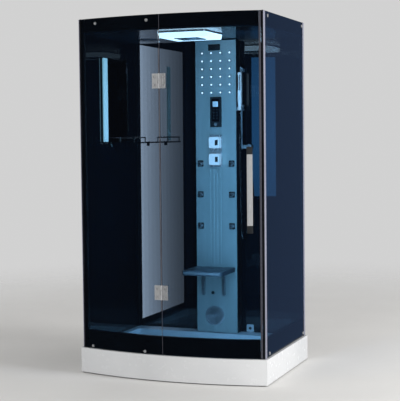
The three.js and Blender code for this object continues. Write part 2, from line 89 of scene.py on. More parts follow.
def make_camera():
    camera = bpy.data.cameras.new("camera")
    camera.sensor_width = 36.0
    camera.lens = CAMERA_LENS
    camera.shift_x, camera.shift_y = CAMERA_SHIFT
    holder = bpy.data.objects.new("camera", camera)
    turn = Matrix((CAMERA_RIGHT, CAMERA_RIGHT.cross(CAMERA_FORWARD), -CAMERA_FORWARD)).transposed()
    holder.matrix_world = Matrix.Translation(CAMERA_PLACE) @ turn.to_4x4()
    bpy.context.scene.collection.objects.link(holder)
    bpy.context.scene.camera = holder


# The same route as the CAD hose: down from the bar's water outlet, round the loop and up to the handset.
HOSE_ROUTE = [
    (0.222, 0.405, 1.3516), (0.222, 0.405, 1.336), (0.222, 0.405, 1.316), (0.2213, 0.4056, 1.27),
    (0.219, 0.408, 1.2), (0.215, 0.411, 1.11), (0.21, 0.414, 1.02), (0.2055, 0.416, 0.93),
    (0.203, 0.417, 0.87), (0.202, 0.417, 0.826), (0.2026, 0.41, 0.8), (0.2043, 0.391, 0.781),
    (0.2065, 0.365, 0.774), (0.2087, 0.339, 0.781), (0.2104, 0.32, 0.8), (0.211, 0.313, 0.826),
    (0.2105, 0.311, 0.87), (0.209, 0.312, 0.93), (0.206, 0.316, 1.02), (0.202, 0.3225, 1.11),
    (0.1975, 0.3305, 1.2), (0.1925, 0.3395, 1.29), (0.1875, 0.3485, 1.38), (0.1835, 0.3555, 1.46),
    (0.181, 0.3603, 1.53), (0.18, 0.362, 1.57), (0.18, 0.362, 1.588), (0.18, 0.362, 1.6026),
]
HOSE_DIAMETER = 0.012
HOSE_COIL_PITCH = 0.005
HOSE_GROOVE = 0.0007


# ---------------------------------------------------------------- mesh helpers


def object_from(bm, name):
    """A new object of the closed shells in bm, smooth apart from its creases."""
    bmesh.ops.recalc_face_normals(bm, faces=bm.faces)
    for face in bm.faces:
        face.smooth = True
    for edge in bm.edges:
        edge.smooth = len(edge.link_faces) != 2 or edge.calc_face_angle(0) < SMOOTH_BELOW
    mesh = bpy.data.meshes.new(name)
    bm.to_mesh(mesh)
    bm.free()
    piece = bpy.data.objects.new(name, mesh)
    bpy.context.scene.collection.objects.link(piece)
    return piece


def loft(bm, rings):
    """Joins closed rings of points, each as long as the next or a single tip, and caps open ends."""
    made = [[bm.verts.new(point) for point in ring] for ring in rings]
    count = max(len(ring) for ring in made)
    for low, high in zip(made, made[1:]):
        for i in range(count):
            j = (i + 1) % count
            corners = [low[i % len(low)], low[j % len(low)], high[j % len(high)], high[i % len(high)]]
            bm.faces.new(dict.fromkeys(corners))
    for end in (made[0], made[-1]):
        if len(end) > 2:
            bm.faces.new(end)


def facing(point, direction):
    """A place at point whose Z looks along direction."""
    turn = Vector(direction).to_track_quat("Z", "Y").to_matrix().to_4x4()
    return Matrix.Translation(Vector(point)) @ turn


def turned(bm, place, profile, sides=32):
    """A turned solid about place's Z, from (radius, height) points that start and end on the axis."""
    rings = []
    for radius, height in profile:
        if radius == 0:
            rings.append([place @ Vector((0, 0, height))])
            continue
        angles = [2 * math.pi * i / sides for i in range(sides)]
        rings.append([place @ Vector((radius * math.cos(a), radius * math.sin(a), height)) for a in angles])
    loft(bm, rings)


def block(bm, low, high, rounding, place=Matrix()):
    """A box with rounded edges between two corners of place's frame."""
    low, high = Vector(low), Vector(high)
    made = bmesh.ops.create_cube(bm, size=1)["verts"]
    for vert in made:
        local = [middle + co * side for middle, co, side in zip((low + high) / 2, vert.co, high - low)]
        vert.co = place @ Vector(local)
    edges = list({edge for vert in made for edge in vert.link_edges})
    bmesh.ops.bevel(bm, geom=edges, offset=rounding, segments=2, profile=0.5, affect="EDGES")


def circle(radius, sides=48):
    """Points of a circle, counted by angle."""
    angles = [2 * math.pi * (i + 0.5) / sides for i in range(sides)]
    return [Vector((radius * math.cos(a), radius * math.sin(a), 0)) for a in angles]


def squircle(half_x, half_y, power, sides):
    """Points of a rounded rectangle, counted by angle."""
    points = []
    for i in range(sides):
        c = math.cos(2 * math.pi * (i + 0.5) / sides)
        s = math.sin(2 * math.pi * (i + 0.5) / sides)
        reach = (abs(c / half_x) ** power + abs(s / half_y) ** power) ** (-1 / power)
        points.append(Vector((c * reach, s * reach, 0)))
    return points


def bezel(bm, place, outer, inner, thickness, chamfer):
    """A flat ring between two outlines, with its outer front edge chamfered."""
    lift = Vector((0, 0, thickness))
    shrunk = [p * (1 - chamfer / p.length) for p in outer]
    shoulder = Vector((0, 0, thickness - chamfer))
    front = [[p + shoulder for p in outer], [p + lift for p in shrunk], [p + lift for p in inner]]
    loops = [outer, *front, inner]
    rings = [[bm.verts.new(place @ point) for point in loop] for loop in loops]
    for low, high in zip(rings, rings[1:] + rings[:1]):
        for i in range(len(low)):
            j = (i + 1) % len(low)
            bm.faces.new((low[i], low[j], high[j], high[i]))


def spline(points, steps):
    """A Catmull-Rom curve through the points."""
    points = [Vector(p) for p in points]
    padded = [2 * points[0] - points[1], *points, 2 * points[-1] - points[-2]]
    path = []
    for a, b, c, d in zip(padded, padded[1:], padded[2:], padded[3:]):
        for i in range(steps):
            t = i / steps
            path.append(0.5 * (2 * b + (c - a) * t + (2 * a - 5 * b + 4 * c - d) * t ** 2
                               + (3 * b - a - 3 * c + d) * t ** 3))
    return path + [points[-1]]


def evenly(path, step):
    """The same path as points about step apart, and its length."""
    spans = [(b - a).length for a, b in zip(path, path[1:])]
    count = round(sum(spans) / step)
    gap = sum(spans) / count
    points, done, i = [path[0]], 0.0, 0
    for n in range(1, count):
        while done + spans[i] < n * gap:
            done += spans[i]
            i += 1
        points.append(path[i].lerp(path[i + 1], (n * gap - done) / spans[i]))
    return points + [path[-1]], sum(spans)


def tube(bm, path, radii, sides=12):
    """A closed tube along a path, with one radius for each point."""
    rings = []
    for i, point in enumerate(path):
        along = (path[min(i + 1, len(path) - 1)] - path[max(i - 1, 0)]).normalized()
        across = (X - along * X.dot(along)).normalized()
        over = along.cross(across)
        angles = [2 * math.pi * k / sides for k in range(sides)]
        rings.append([point + radii[i] * (math.cos(a) * across + math.sin(a) * over) for a in angles])
    loft(bm, rings)


def rod(bm, start, end, radius, sides=16):
    """A straight bar with softened ends."""
    start, end = Vector(start), Vector(end)
    length, soft = (end - start).length, radius * 0.25
    profile = [(0, 0), (radius - soft, 0), (radius, soft), (radius, length - soft),
               (radius - soft, length), (0, length)]
    turned(bm, facing(start, end - start), profile, sides)


# ---------------------------------------------------------------- finishes


class Finish:
    """A material under construction: a Principled shader and the noise that varies it."""

    def __init__(self, name, **sockets):
        self.material = bpy.data.materials.new(name)
        self.material.use_nodes = True
        self.nodes = self.material.node_tree.nodes
        self.links = self.material.node_tree.links
        self.shader = self.nodes["Principled BSDF"]
        for socket, value in sockets.items():
            self.shader.inputs[socket.replace("_", " ")].default_value = value
        self.place = self.nodes.new("ShaderNodeTexCoord").outputs["Object"]

    def node(self, kind, inputs, output=0, **settings):
        made = self.nodes.new(kind)
        for setting, value in settings.items():
            setattr(made, setting, value)
        for socket, value in inputs.items():
            if isinstance(value, bpy.types.NodeSocket):
                self.links.new(value, made.inputs[socket])
            else:
                made.inputs[socket].default_value = value
        return made.outputs[output]

    def stretched(self, scale):
        return self.node("ShaderNodeMapping", {"Vector": self.place, "Scale": scale})

    def noise(self, scale, detail=3.0, stretch=(1, 1, 1)):
        return self.node("ShaderNodeTexNoise",
                         {"Vector": self.stretched(stretch), "Scale": scale, "Detail": detail})

    def colour(self, pattern, low, high):
        """Base colour from a pattern, between a low and a high (position, colour) stop."""
        made = self.nodes.new("ShaderNodeValToRGB")
        for i, (position, colour) in enumerate((low, high)):
            made.color_ramp.elements[i].position = position
            made.color_ramp.elements[i].color = (*colour, 1)
        self.links.new(pattern, made.inputs["Fac"])
        self.links.new(made.outputs["Color"], self.shader.inputs["Base Color"])
        return self

    def rough(self, pattern, low, high):
        """Roughness from a pattern's usual range."""
        spread = self.node("ShaderNodeMapRange", {"Value": pattern, "From Min": 0.3, "From Max": 0.7,
                                                  "To Min": low, "To Max": high})
        self.links.new(spread, self.shader.inputs["Roughness"])
        return self

    def relief(self, pattern, depth, strength=0.5):
        """Bump from a pattern, depth in metres."""
        raised = self.node("ShaderNodeBump", {"Height": pattern, "Distance": depth, "Strength": strength})
        self.links.new(raised, self.shader.inputs["Normal"])
        return self


def grey(level, blue=0.0):
    return (level, level * (1 + blue / 2), level * (1 + blue))


def white_acrylic():
    f = Finish("white_acrylic", Coat_Weight=0.35, Coat_Roughness=0.08)
    f.colour(f.noise(2.5, 5), (0.35, grey(0.74, 0.03)), (0.65, grey(0.82, 0.02)))
    return f.rough(f.noise(30, 4), 0.16, 0.3).relief(f.noise(260, 2), 0.0004, 0.25)


def black_glass():
    f = Finish("black_glass", IOR=1.9)
    f.colour(f.noise(1.6, 4), (0.3, (0.002, 0.004, 0.007)), (0.7, (0.003, 0.006, 0.011)))
    return f.rough(f.noise(9, 5, (1, 1, 0.3)), 0.008, 0.025)


def black_rail():
    f = Finish("black_rail")
    f.colour(f.noise(5, 4), (0.3, (0.007, 0.008, 0.011)), (0.7, (0.014, 0.015, 0.020)))
    f.rough(f.noise(60, 3, (0.2, 0.2, 3)), 0.26, 0.42)
    return f.relief(f.noise(900, 1, (0.05, 0.05, 1)), 0.0002, 0.2)


def lets_lamps_through(f, tint):
    """Light from the lamps crosses the pane as through a tinted film, and the eye sees real glass."""
    film = f.nodes.new("ShaderNodeBsdfTransparent")
    film.inputs["Color"].default_value = (*tint, 1)
    mix = f.nodes.new("ShaderNodeMixShader")
    f.links.new(f.nodes.new("ShaderNodeLightPath").outputs["Is Shadow Ray"], mix.inputs["Fac"])
    f.links.new(f.shader.outputs["BSDF"], mix.inputs[1])
    f.links.new(film.outputs["BSDF"], mix.inputs[2])
    f.links.new(mix.outputs["Shader"], f.nodes["Material Output"].inputs["Surface"])
    return f


def tinted_glass():
    f = Finish("tinted_glass", IOR=1.5, Transmission_Weight=1.0)
    f.colour(f.noise(1.2, 2), (0.3, (0.28, 0.41, 0.53)), (0.7, (0.31, 0.44, 0.56)))
    f.rough(f.noise(7, 5), 0.0, 0.012)
    return lets_lamps_through(f, (0.30, 0.43, 0.55))


def clear_glass():
    f = Finish("clear_glass", IOR=1.5, Transmission_Weight=1.0)
    f.colour(f.noise(3, 2), (0.3, (0.76, 0.90, 0.88)), (0.7, (0.82, 0.94, 0.92)))
    f.rough(f.noise(20, 4), 0.0, 0.02)
    return lets_lamps_through(f, (0.82, 0.92, 0.90))


def mirror_glass():
    f = Finish("mirror_glass", Metallic=1.0)
    f.colour(f.noise(2, 3), (0.3, (0.11, 0.115, 0.15)), (0.7, (0.13, 0.135, 0.17)))
    return f.rough(f.noise(12, 4), 0.0, 0.03)


def chrome():
    f = Finish("chrome", Metallic=1.0)
    f.colour(f.noise(25, 4), (0.3, grey(0.68, 0.04)), (0.7, grey(0.78, 0.03)))
    return f.rough(f.noise(45, 5), 0.05, 0.15).relief(f.noise(400, 2), 0.0001, 0.15)


def brushed_chrome(name="brushed_chrome", level=0.72, metallic=0.6):
    f = Finish(name, Metallic=metallic, Specular_IOR_Level=metallic / 2 + 0.15)
    f.colour(f.noise(30, 4), (0.3, grey(level * 0.97, 0.03)), (0.7, grey(level * 1.03, 0.02)))
    return f.rough(f.noise(160, 3, (1, 1, 0.1)), 0.22, 0.30).relief(f.noise(500, 2), 0.0001, 0.06)


def chromed_plastic():
    f = Finish("chromed_plastic", Metallic=0.7)
    f.colour(f.noise(18, 4), (0.3, grey(0.72, 0.05)), (0.7, grey(0.82, 0.04)))
    return f.rough(f.noise(30, 4), 0.12, 0.24).relief(f.noise(220, 2), 0.0002, 0.2)


def satin_aluminium():
    f = Finish("satin_aluminium", Metallic=0.35)
    brushed = f.noise(420, 3, (1, 1, 0.02))
    f.colour(f.noise(40, 3, (1, 1, 0.04)), (0.3, (0.50, 0.58, 0.56)), (0.7, (0.57, 0.65, 0.63)))
    return f.rough(brushed, 0.3, 0.44).relief(brushed, 0.0002, 0.25)


def galvanised_steel():
    f = Finish("galvanised_steel", Metallic=0.85)
    spangle = f.node("ShaderNodeTexVoronoi", {"Vector": f.place, "Scale": 90.0}, output=1)
    f.colour(spangle, (0.1, grey(0.40, 0.06)), (0.9, grey(0.58, 0.06)))
    return f.rough(f.noise(80, 4), 0.35, 0.5)


def brass():
    f = Finish("brass", Metallic=1.0)
    f.colour(f.noise(30, 5), (0.3, (0.62, 0.42, 0.16)), (0.7, (0.74, 0.54, 0.24)))
    return f.rough(f.noise(60, 4), 0.24, 0.4).relief(f.noise(500, 2), 0.0002, 0.3)


def black_plastic():
    f = Finish("black_plastic", Specular_IOR_Level=0.3)
    f.colour(f.noise(20, 4), (0.3, grey(0.018, 0.2)), (0.7, grey(0.034, 0.2)))
    return f.rough(f.noise(90, 3), 0.34, 0.48).relief(f.noise(900, 2), 0.0003, 0.4)


def grey_panel():
    f = Finish("grey_panel")
    f.colour(f.noise(4, 4), (0.3, (0.022, 0.034, 0.050)), (0.7, (0.032, 0.048, 0.068)))
    return f.rough(f.noise(25, 3), 0.14, 0.24).relief(f.noise(240, 2), 0.0002, 0.15)


def white_plastic():
    f = Finish("white_plastic")
    f.colour(f.noise(12, 4), (0.3, grey(0.68, 0.03)), (0.7, grey(0.78, 0.03)))
    return f.rough(f.noise(60, 3), 0.3, 0.42).relief(f.noise(700, 2), 0.0002, 0.3)


def seal_plastic(name, level):
    f = Finish(name)
    tone = Vector((0.78, 0.80, 1.0)) * level
    f.colour(f.noise(30, 3, (1, 1, 0.05)), (0.3, tone * 0.9), (0.7, tone * 1.1))
    return f.rough(f.noise(120, 3), 0.22, 0.36).relief(f.noise(300, 1, (1, 1, 0.02)), 0.0002, 0.3)


def lit_diffuser(name="lit_diffuser", colour=(0.86, 0.96, 1.0), strength=3.2):
    f = Finish(name, Roughness=0.4, Emission_Strength=strength)
    f.colour(f.noise(14, 3), (0.3, grey(0.80, 0.03)), (0.7, grey(0.88, 0.03)))
    glow = f.nodes.new("ShaderNodeValToRGB")
    glow.color_ramp.elements[0].color = (*[c * 0.86 for c in colour], 1)
    glow.color_ramp.elements[1].color = (*colour, 1)
    f.links.new(f.noise(9, 2), glow.inputs["Fac"])
    f.links.new(glow.outputs["Color"], f.shader.inputs["Emission Color"])
    return f


def seat_plastic():
    f = Finish("seat_plastic", Coat_Weight=0.2)
    f.colour(f.noise(16, 4), (0.3, (0.070, 0.085, 0.10)), (0.7, (0.105, 0.12, 0.14)))
    ribs = f.node("ShaderNodeTexWave", {"Vector": f.place, "Scale": 26.0}, output=1, bands_direction="X")
    return f.rough(f.noise(70, 4), 0.26, 0.4).relief(ribs, 0.0008, 0.5)


def steel_hose():
    f = Finish("steel_hose", Metallic=1.0)
    f.colour(f.noise(60, 3), (0.3, grey(0.50, 0.05)), (0.7, grey(0.66, 0.05)))
    return f.rough(f.noise(90, 3), 0.16, 0.3)


FINISHES = {
    "white_acrylic": white_acrylic, "black_glass": black_glass, "black_rail": black_rail,
    "tinted_glass": tinted_glass, "clear_glass": clear_glass, "mirror_glass": mirror_glass,
    "chrome": chrome, "chromed_plastic": chromed_plastic, "satin_aluminium": satin_aluminium,
    "galvanised_steel": galvanised_steel, "brass": brass, "black_plastic": black_plastic,
    "grey_panel": grey_panel, "lit_diffuser": lit_diffuser, "seat_plastic": seat_plastic,
    "steel_hose": steel_hose,
}
MATERIALS = {slot: make().material for slot, make in FINISHES.items()}
BRUSHED = brushed_chrome().material
SATIN = brushed_chrome("satin_handle", 0.50, 0.2).material
TRIM = seal_plastic("clear_trim", 0.36).material
SEAL = seal_plastic("door_seal", 0.09).material
WHITE = white_plastic().material
DISPLAY = lit_diffuser("display_glow", (0.55, 0.80, 0.95), 0.3).material
LAMP = lit_diffuser("lamp_glow", (0.60, 0.97, 1.0), 0.9).material
# The spray nozzle tips glow: a painted highlight in place of their glints.
NOZZLE = lit_diffuser("nozzle_painted_glint", (0.92, 0.97, 1.0), 3.0).material
# Knobs and handset glow faintly in this warm white: a painted highlight that stands in for their shine.
PAINTED_HIGHLIGHT = lit_diffuser("painted_highlight_white", (1.0, 0.98, 0.90), 0.5).material


def add(bm, name, body, slot, material=None):
    """Turns bm into a piece that rides on a body and wears a finish."""
    piece = object_from(bm, name)
    piece.data.materials.append(material or MATERIALS[slot])
    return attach(piece, body)


# ---------------------------------------------------------------- CAD nodes: bevels and finishes

BEVELS = {
    "tray": 0.006, "seat_panel": 0.0015, "mixer_knob": 0.0004, "diverter_knob": 0.0004,
    "door_handle": 0.0025, "control_panel": 0.0015, "valve_plate": 0.0015, "rain_head": 0.002,
    "ceiling_light": 0.002,
    "steam_generator": 0.004, "column_casing": 0.0015, "fan_housing": 0.002, "power_button": 0.0008,
    "bar_holder": 0.0015, "drain_cover": 0.0012,
}
SPECIAL_FINISH = {
    "door_handle": SATIN, "hinge_lower_fixed": SATIN, "hinge_upper_fixed": SATIN,
    "hinge_lower_door": BRUSHED, "hinge_upper_door": BRUSHED,
    # The knobs and the handset glow: painted highlight.
    "mixer_knob": PAINTED_HIGHLIGHT, "diverter_knob": PAINTED_HIGHLIGHT, "handset": PAINTED_HIGHLIGHT, "bar_holder": BRUSHED,
    "slide_bar": BRUSHED, "valve_plate": BRUSHED,
}
GLASS_NODES = ("fixed_glass", "door_glass", "side_glass", "glass_shelf", "mirror", "left_wall", "back_wall")
USUAL_BEVEL = 0.0008


def dress_frame():
    """Every CAD node gets its slot's finish, softened edges and smooth shading over its curves."""
    for row in frame["record"]["subparts"]:
        node = NODES[row["node"]]
        node.data.materials.clear()
        node.data.materials.append(SPECIAL_FINISH.get(row["node"], MATERIALS[row["material_slot"]]))
        for face in node.data.polygons:
            face.use_smooth = True
        weld = node.modifiers.new("weld", "WELD")
        weld.merge_threshold = 1e-5
        if row["node"] not in GLASS_NODES:
            bevel = node.modifiers.new("bevel", "BEVEL")
            bevel.limit_method = "ANGLE"
            bevel.angle_limit = SMOOTH_BELOW
            bevel.width = BEVELS.get(row["node"], USUAL_BEVEL)
            bevel.segments = 2
        split = node.modifiers.new("split", "EDGE_SPLIT")
        split.split_angle = SMOOTH_BELOW
        weighted = node.modifiers.new("weighted", "WEIGHTED_NORMAL")
        weighted.keep_sharp = True


# ---------------------------------------------------------------- hose


def make_hose():
    path, length = evenly(spline(HOSE_ROUTE, 8), HOSE_COIL_PITCH / 2)
    crest = HOSE_DIAMETER / 2
    radii = [crest - (HOSE_GROOVE if i % 2 else 0) for i in range(len(path))]
    bm = bmesh.new()
    tube(bm, path, radii)
    hose = object_from(bm, "shower_hose")
    hose.data.materials.append(MATERIALS["steel_hose"])
    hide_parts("hose")
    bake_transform(hose)


def make_hose_nuts():
    """A nut at the water outlet, and a slim ferrule under the handset that stays with the hose's end."""
    nut = [(0, 0), (0.0085, 0), (0.0092, 0.001), (0.0092, 0.011), (0.0078, 0.0125), (0.0078, 0.015),
           (0.0066, 0.022), (0.0066, 0.023), (0, 0.023)]
    bm = bmesh.new()
    turned(bm, facing(HOSE_ROUTE[0], -Z), nut, 24)
    add(bm, "hose_nut_bottom", "cabin", "chrome")
    ferrule = [(0, 0), (0.0060, 0), (0.0067, 0.0008), (0.0067, 0.009), (0.0061, 0.010), (0, 0.010)]
    x, y, z = HOSE_ROUTE[-1]
    bm = bmesh.new()
    turned(bm, facing((x, y, z - 0.0002), -Z), ferrule, 24)
    add(bm, "hose_nut_top", "holder", "chrome")


# ---------------------------------------------------------------- front and side glass


class Bow:
    """The circle of the front glass's outer face."""

    def __init__(self):
        low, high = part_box("fixed_glass")
        left, right = (self.front_point(x) for x in (low.x, high.x))
        self.centre_y = (left.xy.length_squared - right.xy.length_squared) / (2 * (left.y - right.y))
        self.radius = math.hypot(right.x, right.y - self.centre_y)

    @staticmethod
    def front_point(x):
        near = [v.co for v in NODES["fixed_glass"].data.vertices if abs(v.co.x - x) < 0.002]
        return min(near, key=lambda co: co.y)

    def place(self, x, z):
        """On the outer face at x and z, with X across the pane, Y up and Z out of the cabin."""
        return self.facing_out(math.asin(x / self.radius), z)

    def place_behind(self, point):
        """On the outer face at floor level, straight behind a point in front of it."""
        return self.facing_out(math.atan2(point.x, self.centre_y - point.y), 0)

    def facing_out(self, angle, z):
        across = Vector((math.cos(angle), math.sin(angle), 0))
        out = across.cross(Z)
        foot = Vector((0, self.centre_y, z)) + out * self.radius
        return Matrix.Translation(foot) @ Matrix((across, Z, out)).transposed().to_4x4()


SCREW_RADIUS = 0.009
SCREW_HEAD = [(0, 0), (SCREW_RADIUS, 0), (SCREW_RADIUS, 0.002), (0.0078, 0.0038), (0.0045, 0.0046),
              (0.003, 0.0046), (0.0026, 0.0032), (0, 0.0032)]
HINGE_SCREW_HEAD = [(0, 0), (0.0065, 0), (0.0065, 0.0012), (0.0052, 0.0018), (0.0034, 0.0018),
                    (0.003, 0.0008), (0, 0.0008)]


def screw_pair(bm, outside, thickness):
    """A polished screw head outside a pane and its nut inside."""
    turned(bm, outside, SCREW_HEAD, 28)
    nut = [(0, 0), (SCREW_RADIUS, 0), (SCREW_RADIUS, 0.003), (0.0075, 0.004), (0, 0.004)]
    inside = outside @ Matrix.Translation((0, 0, -thickness)) @ Matrix.Rotation(math.pi, 4, "X")
    turned(bm, inside, nut, 28)


def make_glass_screws(bow):
    low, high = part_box("fixed_glass")
    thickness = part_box("side_glass")[1].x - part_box("side_glass")[0].x
    bm = bmesh.new()
    for x, z in ((low.x + 0.109, high.z - 0.031), (high.x - 0.075, high.z - 0.031),
                 (low.x + 0.057, low.z + 0.013), (high.x - 0.111, low.z + 0.013)):
        screw_pair(bm, bow.place(x, z), thickness)
    low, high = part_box("side_glass")
    for y, z in ((low.y + 0.05, high.z - 0.024), (high.y - 0.018, high.z - 0.024),
                 (low.y + 0.05, low.z + 0.020), (high.y - 0.018, low.z + 0.020)):
        screw_pair(bm, facing((high.x, y, z), X), thickness)
    add(bm, "glass_screws", "cabin", "chrome", BRUSHED)


def make_hinge_details():
    """Two screws on each leaf of both hinges."""
    for level in ("lower", "upper"):
        for leaf, body, side in (("fixed", "cabin", -1), ("door", "door", 1)):
            low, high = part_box(f"hinge_{level}_{leaf}")
            x = (low.x + 0.016) if side < 0 else (high.x - 0.016)
            bm = bmesh.new()
            for z in (low.z + 0.02, high.z - 0.02):
                turned(bm, facing((x, low.y + 0.0003, z), -Y), HINGE_SCREW_HEAD, 24)
            add(bm, f"hinge_{level}_{leaf}_screws", body, "chrome", BRUSHED)


def make_hinge_seal():
    """A clear seal in the gap between the door and the fixed pane, between the hinges."""
    low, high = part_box("door_glass")
    hinges = [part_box("hinge_lower_door"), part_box("hinge_upper_door")]
    levels = [low.z + 0.003, hinges[0][0].z - 0.002, hinges[0][1].z + 0.002, hinges[1][0].z - 0.002,
              hinges[1][1].z + 0.002, high.z - 0.003]
    bm = bmesh.new()
    for bottom, top in zip(levels[::2], levels[1::2]):
        block(bm, (low.x - 0.0036, low.y - 0.0012, bottom), (low.x - 0.0004, low.y + 0.0075, top), 0.0008)
    add(bm, "door_seal_hinge_side", "door", "chromed_plastic", SEAL)


def make_door_edge(bow):
    """The magnetic seal on the door's closing edge, in front of the corner post."""
    low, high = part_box("door_glass")
    half = (high.z - low.z) / 2 - 0.003
    bm = bmesh.new()
    place = bow.place(high.x - 0.006, (low.z + high.z) / 2)
    block(bm, (-0.006, -half, 0.0003), (0.006, half, 0.0022), 0.0006, place)
    add(bm, "door_seal_closing_side", "door", "chromed_plastic", SEAL)


def make_corner_trims():
    """Slim clear strips along the outer faces of the visible corner posts."""
    for corner, side in (("front_right", 1), ("back_right", 1), ("front_left", -1)):
        low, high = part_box(f"post_{corner}")
        outer = high.x if side > 0 else low.x
        inner, out = sorted((outer + side * 0.0002, outer + side * 0.003))
        bm = bmesh.new()
        block(bm, (inner, low.y - 0.002, low.z + 0.002), (out, high.y - 0.001, high.z - 0.002), 0.0009)
        add(bm, f"corner_trim_{corner}", "cabin", "chromed_plastic", TRIM)


def make_handle_sleeves(bow):
    """Black sleeves over both ends of the door handle's flat bar."""
    low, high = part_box("door_handle")
    end = [v.co for v in NODES["door_handle"].data.vertices if v.co.z > high.z - 0.001]
    middle_x = (min(p.x for p in end) + max(p.x for p in end)) / 2
    middle_y = (min(p.y for p in end) + max(p.y for p in end)) / 2
    place = bow.place_behind(Vector((middle_x, middle_y, 0)))
    bm = bmesh.new()
    for bottom in (low.z - 0.002, high.z - 0.042):
        block(bm, (-0.0168, bottom, 0.0332), (0.0168, bottom + 0.044, 0.0468), 0.002, place)
    add(bm, "handle_sleeves", "door", "black_plastic")


# ---------------------------------------------------------------- ceiling


def make_light_frame():
    """A polished frame round the lit panel."""
    low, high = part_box("ceiling_light")
    centre = (low + high) / 2
    place = facing((centre.x, centre.y, high.z), -Z)
    half = (high.x - low.x) / 2
    outer, inner = (squircle(half + gap, half + gap, 14, 64) for gap in (0.008, 0.0006))
    bm = bmesh.new()
    bezel(bm, place, outer, inner, 0.006, 0.002)
    add(bm, "light_frame", "cabin", "chrome")


def make_rain_nozzles():
    """A square grid of small nozzles under the rain head."""
    low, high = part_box("rain_head")
    nozzle = [(0, 0), (0.0034, 0), (0.003, 0.001), (0.0018, 0.0024), (0, 0.0026)]
    rows = 7
    pitch = (high.x - low.x) / (rows + 1)
    bm = bmesh.new()
    for i in range(rows):
        for j in range(rows):
            spot = (low.x + (i + 1) * pitch, low.y + (j + 1) * pitch, low.z + 0.0003)
            turned(bm, facing(spot, -Z), nozzle, 10)
    add(bm, "rain_head_nozzles", "cabin", "chromed_plastic", WHITE)


def make_fan_grille():
    """Four rings on a cross, under the fan's opening in the ceiling."""
    low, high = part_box("fan_housing")
    centre = (low + high) / 2
    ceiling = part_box("ceiling_panel")[0].z
    bm = bmesh.new()
    for radius in (0.062, 0.048, 0.034, 0.020):
        place = facing((centre.x, centre.y, ceiling - 0.0003), -Z)
        bezel(bm, place, circle(radius), circle(radius - 0.006), 0.004, 0.0012)
    for angle in (0, math.pi / 2):
        place = facing((centre.x, centre.y, ceiling - 0.0005), -Z) @ Matrix.Rotation(angle, 4, "Z")
        block(bm, (-0.060, -0.003, 0), (0.060, 0.003, 0.003), 0.0008, place)
    add(bm, "fan_grille", "cabin", "grey_panel")


def make_generator_details():
    """Vent louvres, cover screws and water and cable fittings of the steam generator on the roof."""
    low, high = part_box("steam_generator")
    bm = bmesh.new()
    for i in range(9):
        x = low.x + 0.09 + i * 0.018
        block(bm, (x, low.y - 0.0018, low.z + 0.02), (x + 0.008, low.y + 0.0002, high.z - 0.018), 0.0006)
    add(bm, "generator_louvres", "cabin", "galvanised_steel")
    screw = [(0, 0), (0.005, 0), (0.0046, 0.0016), (0, 0.0024)]
    bm = bmesh.new()
    for x in (low.x + 0.015, high.x - 0.015):
        for y in (low.y + 0.015, high.y - 0.015):
            turned(bm, facing((x, y, high.z + 0.0002), Z), screw, 20)
    add(bm, "generator_screws", "cabin", "chrome")
    gland = [(0, 0), (0.013, 0), (0.013, 0.006), (0.010, 0.008), (0.010, 0.018), (0.007, 0.022), (0, 0.022)]
    bm = bmesh.new()
    for y in (low.y + 0.05, low.y + 0.10):
        turned(bm, facing((high.x + 0.0003, y, (low.z + high.z) / 2), X), gland, 24)
    add(bm, "generator_fittings", "cabin", "brass")


# ---------------------------------------------------------------- shower column


def column_face():
    """The y of the column's front, which the control panel's back lies against."""
    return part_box("control_panel")[1].y


NOZZLE_FLANGE = [(0, 0), (0.0092, 0), (0.0092, 0.0012), (0.0078, 0.0028), (0, 0.0028)]
NOZZLE_TIP = [(0, 0.003), (0.0052, 0.003), (0.005, 0.0048), (0.0034, 0.0066), (0.0022, 0.0066),
              (0.0018, 0.0052), (0, 0.0052)]


def make_nozzles():
    """Four columns of six spray nozzles at the top of the column."""
    centre = (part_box("control_panel")[0].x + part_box("control_panel")[1].x) / 2
    pitch_x, pitch_z = 0.063, 0.051
    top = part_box("column_casing")[1].z - 0.081
    flanges, tips = bmesh.new(), bmesh.new()
    for column in range(4):
        for row in range(6):
            x, z = centre + (column - 1.5) * pitch_x, top - row * pitch_z
            place = facing((x, column_face(), z), -Y)
            turned(flanges, place, NOZZLE_FLANGE, 24)
            turned(tips, place, NOZZLE_TIP, 16)
    add(flanges, "nozzle_flanges", "cabin", "chrome")
    # The tips wear the glowing white: painted highlight.
    add(tips, "nozzle_tips", "cabin", "chromed_plastic", NOZZLE)


def make_speaker():
    """The small dark grille above the nozzles."""
    low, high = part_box("control_panel")
    x = (low.x + high.x) / 2 - 0.0115
    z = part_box("column_casing")[1].z - 0.045
    face = column_face()
    half_x, half_z = 0.0415, 0.020
    slat_x = half_x - 0.005
    bm = bmesh.new()
    block(bm, (x - half_x, face - 0.0016, z - half_z), (x + half_x, face, z + half_z), 0.0006)
    for i in range(6):
        slat = z - half_z + 0.005 + i * 0.006
        block(bm, (x - slat_x, face - 0.0042, slat), (x + slat_x, face - 0.0012, slat + 0.0028), 0.0005)
    add(bm, "speaker_grille", "cabin", "black_plastic")


def make_control_face():
    """The control panel's black face with its display and keys."""
    low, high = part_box("control_panel")
    centre = (low.x + high.x) / 2
    face = low.y
    above_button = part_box("power_button")[1].z + 0.008
    bm = bmesh.new()
    block(bm, (low.x + 0.012, face - 0.0022, above_button),
          (high.x - 0.012, face - 0.0002, high.z - 0.012), 0.0008)
    add(bm, "control_screen", "cabin", "black_glass")
    bm = bmesh.new()
    block(bm, (centre - 0.018, face - 0.0034, high.z - 0.064),
          (centre + 0.018, face - 0.0020, high.z - 0.030), 0.0005)
    add(bm, "control_display", "cabin", "lit_diffuser", DISPLAY)
    bm = bmesh.new()
    for row in range(4):
        for column in (-1, 1):
            x, z = centre + column * 0.011, high.z - 0.082 - row * 0.019
            place = facing((x, face - 0.0021, z), -Y)
            key = [(0, 0), (0.0062, 0), (0.006, 0.0012), (0.0048, 0.002), (0, 0.0016)]
            turned(bm, place, key, 24)
    add(bm, "control_keys", "cabin", "black_plastic")


